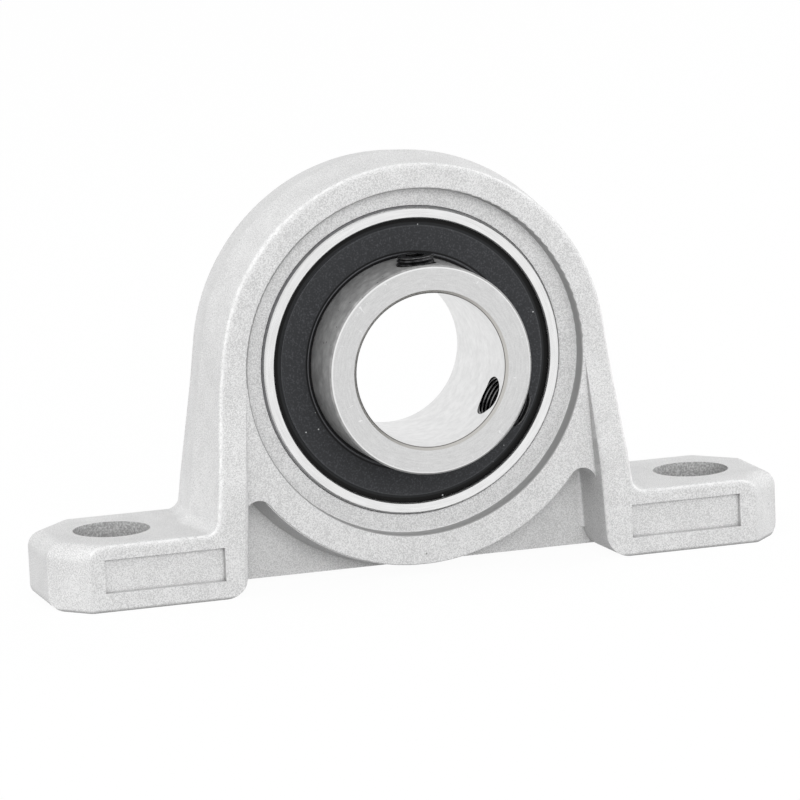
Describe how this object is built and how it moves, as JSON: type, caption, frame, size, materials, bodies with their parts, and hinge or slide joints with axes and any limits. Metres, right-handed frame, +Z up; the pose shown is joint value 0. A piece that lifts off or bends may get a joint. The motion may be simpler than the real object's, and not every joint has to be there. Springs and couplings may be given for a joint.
{
  "type": "pillow block bearing",
  "caption": "Self-aligning pillow block: a footed cast housing holds a sealed ball insert, whose extended inner ring is locked to a shaft by set screws.",
  "frame": {"origin": "on the base plane, straight under the shaft's centre, on the housing's parting plane, midway between the bolt holes", "axes": "+X along the feet, -Y along the shaft towards the inner ring's long end, +Z up from the base"},
  "size_m": [0.1, 0.024, 0.055],
  "materials": {
    "housing_paint": "satin",
    "ring_steel": "polished",
    "ball_steel": "polished",
    "cage_steel": "satin",
    "rivet_steel": "satin",
    "seal_rubber": "matte",
    "core_steel": "satin",
    "screw_steel": "satin"
  },
  "bodies": {
    "housing": {"housing": "housing_paint"},
    "insert": {"outer_ring": "ring_steel", "front_seal_rubber": "seal_rubber", "front_seal_core": "core_steel", "rear_seal_rubber": "seal_rubber", "rear_seal_core": "core_steel"},
    "inner_ring": {"inner_ring": "ring_steel"},
    "cage": {"cage_front": "cage_steel", "cage_rear": "cage_steel", "cage_rivets": "rivet_steel"},
    "ball_1": {"ball_1": "ball_steel"},
    "ball_2": {"ball_2": "ball_steel"},
    "ball_3": {"ball_3": "ball_steel"},
    "ball_4": {"ball_4": "ball_steel"},
    "ball_5": {"ball_5": "ball_steel"},
    "ball_6": {"ball_6": "ball_steel"},
    "ball_7": {"ball_7": "ball_steel"},
    "ball_8": {"ball_8": "ball_steel"},
    "ball_9": {"ball_9": "ball_steel"},
    "set_screw_1": {"set_screw_1": "screw_steel"},
    "set_screw_2": {"set_screw_2": "screw_steel"}
  },
  "joints": [
    {"name": "insert_tilt", "type": "hinge", "parent": "housing", "child": "insert", "pos_m": [0, 0, 0.028], "axis": [1, 0, 0], "range_deg": [-3, 3]},
    {"name": "inner_ring_spin", "type": "hinge", "parent": "insert", "child": "inner_ring", "pos_m": [0, 0, 0.028], "axis": [0, 1, 0], "continuous": true},
    {"name": "cage_spin", "type": "hinge", "parent": "insert", "child": "cage", "pos_m": [0, 0, 0.028], "axis": [0, 1, 0], "continuous": true},
    {"name": "ball_1_spin", "type": "hinge", "parent": "cage", "child": "ball_1", "pos_m": [0, 0, 0.04358], "axis": [0, 1, 0], "continuous": true},
    {"name": "ball_2_spin", "type": "hinge", "parent": "cage", "child": "ball_2", "pos_m": [-0.01001, 0, 0.03993], "axis": [0, 1, 0], "continuous": true},
    {"name": "ball_3_spin", "type": "hinge", "parent": "cage", "child": "ball_3", "pos_m": [-0.01534, 0, 0.0307], "axis": [0, 1, 0], "continuous": true},
    {"name": "ball_4_spin", "type": "hinge", "parent": "cage", "child": "ball_4", "pos_m": [-0.01349, 0, 0.02021], "axis": [0, 1, 0], "continuous": true},
    {"name": "ball_5_spin", "type": "hinge", "parent": "cage", "child": "ball_5", "pos_m": [-0.00533, 0, 0.01336], "axis": [0, 1, 0], "continuous": true},
    {"name": "ball_6_spin", "type": "hinge", "parent": "cage", "child": "ball_6", "pos_m": [0.00533, 0, 0.01336], "axis": [0, 1, 0], "continuous": true},
    {"name": "ball_7_spin", "type": "hinge", "parent": "cage", "child": "ball_7", "pos_m": [0.01349, 0, 0.02021], "axis": [0, 1, 0], "continuous": true},
    {"name": "ball_8_spin", "type": "hinge", "parent": "cage", "child": "ball_8", "pos_m": [0.01534, 0, 0.0307], "axis": [0, 1, 0], "continuous": true},
    {"name": "ball_9_spin", "type": "hinge", "parent": "cage", "child": "ball_9", "pos_m": [0.01001, 0, 0.03993], "axis": [0, 1, 0], "continuous": true},
    {"name": "set_screw_1_travel", "type": "slide", "parent": "inner_ring", "child": "set_screw_1", "axis": [0.0349, 0, -0.9994], "range_m": [-0.002, 0.0008]},
    {"name": "set_screw_2_travel", "type": "slide", "parent": "inner_ring", "child": "set_screw_2", "axis": [-0.8829, 0, 0.4695], "range_m": [-0.002, 0.0008]}
  ],
  "couplings": [
    {"joint": "cage_spin", "follows": "inner_ring_spin", "ratio": 0.39807},
    {"joint": "ball_1_spin", "follows": "inner_ring_spin", "ratio": -2.3508},
    {"joint": "ball_2_spin", "follows": "inner_ring_spin", "ratio": -2.3508},
    {"joint": "ball_3_spin", "follows": "inner_ring_spin", "ratio": -2.3508},
    {"joint": "ball_4_spin", "follows": "inner_ring_spin", "ratio": -2.3508},
    {"joint": "ball_5_spin", "follows": "inner_ring_spin", "ratio": -2.3508},
    {"joint": "ball_6_spin", "follows": "inner_ring_spin", "ratio": -2.3508},
    {"joint": "ball_7_spin", "follows": "inner_ring_spin", "ratio": -2.3508},
    {"joint": "ball_8_spin", "follows": "inner_ring_spin", "ratio": -2.3508},
    {"joint": "ball_9_spin", "follows": "inner_ring_spin", "ratio": -2.3508}
  ]
}
